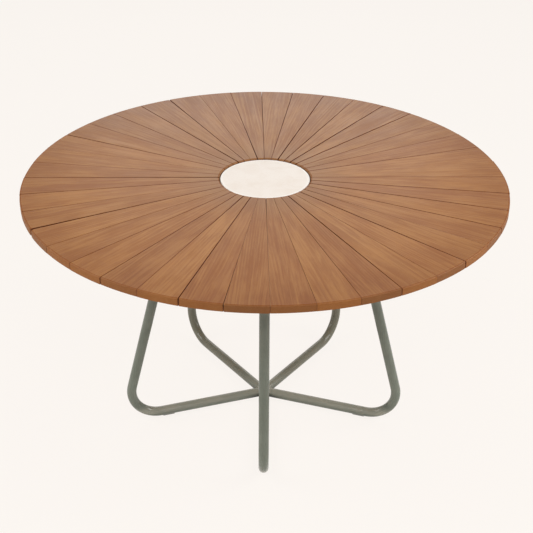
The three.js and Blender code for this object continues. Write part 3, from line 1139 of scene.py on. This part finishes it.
def make_disc():
    edge = quarter_round(DISC_HIGH.x - RIM_INSET, DISC_EASE, DISC_EASE_STEPS)
    lower = [(r, DISC_LOW.z - z) for r, z in reversed(edge)]
    upper = [(r, DISC_HIGH.z + z) for r, z in edge]
    profile = [(0.0, DISC_LOW.z)] + lower + upper + [(0.0, DISC_HIGH.z)]
    mesh = revolved_solid(profile, ROUND_SEGMENTS)
    disc = add_piece("stone_disc", *mesh, STONE, "centre_stone", body="disc")
    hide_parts("centre_disc")


def make_pad():
    mesh = revolved_ring(PAD_HIGH.x - PAD_WIDTH, PAD_HIGH.x, PAD_LOW.z, PAD_HIGH.z, PAD_EASE)
    pad = add_piece("rubber_pad_ring", *mesh, RUBBER, "rubber_pad")
    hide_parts("disc_pad")


# Plugs in the arm ends and glides under the feet

PLUG_CAP = 0.003
PLUG_EASE = 0.0012
PLUG_EASE_STEPS = 6
PLUG_EDGE = 0.0002   # taken off the cap's edge against the tube
PLUG_DOME = 0.0003   # that the cap's middle stands out past its edge
PLUG_DOME_MIDWAY = 0.0001   # that is left of this half-way out
PLUG_SPIGOT = 0.014
PLUG_LEAD = 0.001   # taken off the spigot's tip
GLIDE_LENGTH = 0.040
GLIDE_HALF_WIDTH = 0.006
GLIDE_TIP_HALF_WIDTH = 0.0002
GLIDE_CHEEK = 0.0012   # its sides above the underside of the tube
GLIDE_EDGE = 0.0006   # the height of its bevel at the floor
GLIDE_SOLE_SHARE = 0.9   # of its width, on the floor
GLIDE_STATIONS = 24
GLIDE_COLUMNS = 12


def plug_mesh():
    """A stepped plug along +Z with its cap's inner face at z = 0 and a slightly domed outer face."""
    bore = TUBE_RADIUS - TUBE_WALL - SEAT_GAP
    profile = [
        (0.0, -PLUG_SPIGOT),
        (bore - PLUG_LEAD, -PLUG_SPIGOT),
        (bore, -PLUG_SPIGOT + PLUG_LEAD),
        (bore, 0.0),
        (TUBE_RADIUS - PLUG_EDGE, 0.0),
        (TUBE_RADIUS, PLUG_EDGE),
        (TUBE_RADIUS, PLUG_CAP - PLUG_EASE),
    ]
    edge = quarter_round(TUBE_RADIUS, PLUG_EASE, PLUG_EASE_STEPS)
    profile += [(r, PLUG_CAP + z - PLUG_DOME) for r, z in edge[1:]]
    profile += [(TUBE_RADIUS * 0.5, PLUG_CAP - PLUG_DOME_MIDWAY), (0.0, PLUG_CAP)]
    return revolved_solid(profile, TUBE_SEGMENTS)


def glide_mesh():
    """A round-ended pad along +X, hollowed to the tube above it, from sections along its length."""
    saddle = TUBE_RADIUS + SEAT_GAP
    straight = GLIDE_LENGTH / 2 - GLIDE_HALF_WIDTH
    vertices = []
    for k in range(GLIDE_STATIONS + 1):
        angle = pi * k / GLIDE_STATIONS
        x = -cos(angle) * GLIDE_LENGTH / 2
        over = max(abs(x) - straight, 0.0)
        half = sqrt(max(GLIDE_HALF_WIDTH ** 2 - over ** 2, 0.0))
        half = max(half, GLIDE_TIP_HALF_WIDTH)
        for i in range(GLIDE_COLUMNS + 1):
            y = half * (1 - 2 * i / GLIDE_COLUMNS)
            hollow = LOWER_RUN_Z - sqrt(saddle ** 2 - y ** 2)
            vertices.append(Vector((x, y, min(hollow, GLIDE_STANDOFF + GLIDE_CHEEK))))
        sole = half * GLIDE_SOLE_SHARE
        for y, z in ((-half, GLIDE_EDGE), (-sole, 0.0), (sole, 0.0), (half, GLIDE_EDGE)):
            vertices.append(Vector((x, y, z)))
    count = len(vertices) // (GLIDE_STATIONS + 1)
    last = GLIDE_STATIONS * count
    faces = []
    for here in range(0, last, count):
        faces += bridge(here, here + count, count)
    faces.append(tuple(reversed(range(count))))
    faces.append(tuple(range(last, last + count)))
    return vertices, faces


def make_trim():
    plug = moved(plug_mesh(), Matrix.Rotation(QUARTER_TURN, 4, "Y"))
    glide = glide_mesh()
    glide_station = LOWER_RUN_END - GLIDE_LENGTH / 2
    for leg in range(LEG_COUNT):
        turn = azimuth_turn(leg * LEG_PITCH)
        at_arm_end = turn @ Matrix.Translation((ARM_END + SEAT_GAP, 0, ARM_Z))
        cap = add_piece(f"end_plug_{leg + 1}", *moved(plug, at_arm_end), PLASTIC, "plastic_trim")
        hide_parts(f"arm_plug_{leg + 1}")
        at_foot = turn @ Matrix.Translation((glide_station, 0, 0))
        foot = add_piece(f"floor_glide_{leg + 1}", *moved(glide, at_foot), PLASTIC, "plastic_trim")
        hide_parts(f"foot_glide_{leg + 1}")


# Floor and surroundings

FLOOR_COLOUR = srgb(252, 247, 242)
FLOOR_RADIUS = 60.0
FLOOR_SIDES = 96
FLOOR_GLOW_SHARE = 0.93   # of what the camera sees of the floor: keeps the shadow faint
WORLD_COLOUR = srgb(250, 246, 241)
WORLD_STRENGTH = 0.51   # of the light that the surroundings give
HORIZON_STRENGTH = 0.965   # of the surroundings to the camera, to match the far floor
SHEEN_LOW = 0.80   # of the surroundings in a glossy surface that mirrors the horizon
SHEEN_HIGH = 0.34   # and in one that mirrors what is overhead
SHEEN_FADE = (0.33, 0.55)   # the heights of a mirrored direction between which it changes


def sheen_strength(s):
    """The glow of the surroundings: even for the camera, and fading upward in what is mirrored."""
    path = s.node("ShaderNodeLightPath")
    _, _, height = s.split(s.node("ShaderNodeTexCoord").outputs["Generated"])
    mirrored = s.spread(height, *SHEEN_FADE, SHEEN_LOW, SHEEN_HIGH)
    seen = s.times(path.outputs["Is Camera Ray"], HORIZON_STRENGTH)
    return s.maths("MAXIMUM", mirrored, seen)


def pale_to_the_eye(s, lit, share, strength=1.0):
    """Mixes lit with an even glow for camera, glossy and transmission rays alone."""
    path = s.node("ShaderNodeLightPath")
    glow = s.node("ShaderNodeEmission", {"Color": FLOOR_COLOUR, "Strength": strength})
    seen = path.outputs["Is Camera Ray"]
    for name in ("Is Glossy Ray", "Is Transmission Ray"):
        seen = s.maths("MAXIMUM", seen, path.outputs[name])
    seen = s.times(seen, share)
    mixed = s.node("ShaderNodeMixShader", {"Fac": seen, 1: lit, 2: glow.outputs["Emission"]})
    return mixed.outputs["Shader"]


def make_floor():
    material = bpy.data.materials.new("floor_paper")
    material.use_nodes = True
    s = Nodes(material.node_tree)
    s.nodes.clear()
    diffuse = s.node("ShaderNodeBsdfDiffuse", {"Color": FLOOR_COLOUR})
    surface = pale_to_the_eye(s, diffuse.outputs["BSDF"], FLOOR_GLOW_SHARE)
    s.node("ShaderNodeOutputMaterial", {"Surface": surface})
    rim = [round_axis(FLOOR_RADIUS, 0.0, k, FLOOR_SIDES) for k in range(FLOOR_SIDES)]
    mesh = bpy.data.meshes.new("floor")
    mesh.from_pydata(rim, [], [tuple(range(FLOOR_SIDES))])
    mesh.materials.append(material)
    floor = in_scene("floor", mesh)


def make_surroundings():
    world = bpy.data.worlds.new("studio")
    world.use_nodes = True
    s = Nodes(world.node_tree)
    soft = s.nodes["Background"]
    s.put(soft.inputs["Color"], WORLD_COLOUR)
    s.put(soft.inputs["Strength"], WORLD_STRENGTH)
    seen = pale_to_the_eye(s, soft.outputs["Background"], 1.0, sheen_strength(s))
    s.put(s.nodes["World Output"].inputs["Surface"], seen)
    bpy.context.scene.world = world


# Lights and camera

SOFTBOXES = {  # name: place, width, height and power
    "left_softbox": (Vector((-2.7, -0.5, 2.3)), 1.8, 1.8, 41.0),
    "right_softbox": (Vector((2.7, -0.3, 2.3)), 1.8, 1.8, 54.0),
    "front_softbox": (Vector((0.0, -2.7, 2.75)), 2.6, 0.7, 26.0),
    "back_panel": (Vector((0.0, 4.2, 2.0)), 2.6, 1.4, 13.5),
}

CAMERA_PLACE = Vector((-0.0068, -2.5718, 1.9574))
CAMERA_LENS = 69.822
CAMERA_SENSOR = 36
CAMERA_REACH = 200
CAMERA_PITCH = radians(30.183)
CAMERA_YAW = radians(0.279)
CAMERA_ROLL = radians(0.444)


def make_lights():
    for name, (place, width, height, power) in SOFTBOXES.items():
        data = bpy.data.lights.new(name, "AREA")
        data.shape = "RECTANGLE"
        data.size = width
        data.size_y = height
        data.energy = power
        lamp = in_scene(name, data)
        lamp.location = place
        towards = Vector((0, 0, TABLE_HEIGHT)) - place
        lamp.rotation_euler = towards.to_track_quat("-Z", "Y").to_euler()


def set_camera():
    data = bpy.data.cameras.new("camera")
    data.lens = CAMERA_LENS
    data.sensor_width = CAMERA_SENSOR
    data.clip_end = CAMERA_REACH
    camera = in_scene("camera", data)
    yaw = Matrix.Rotation(-CAMERA_YAW, 4, "Z")
    pitch = Matrix.Rotation(QUARTER_TURN - CAMERA_PITCH, 4, "X")
    roll = Matrix.Rotation(CAMERA_ROLL, 4, "Z")
    camera.matrix_world = Matrix.Translation(CAMERA_PLACE) @ yaw @ pitch @ roll
    bpy.context.scene.camera = camera


set_camera()
make_floor()
make_surroundings()
make_lights()
make_slats()
make_legs()
make_rings()
make_disc()
make_pad()
make_trim()

bpy.context.scene.view_settings.view_transform = "Standard"
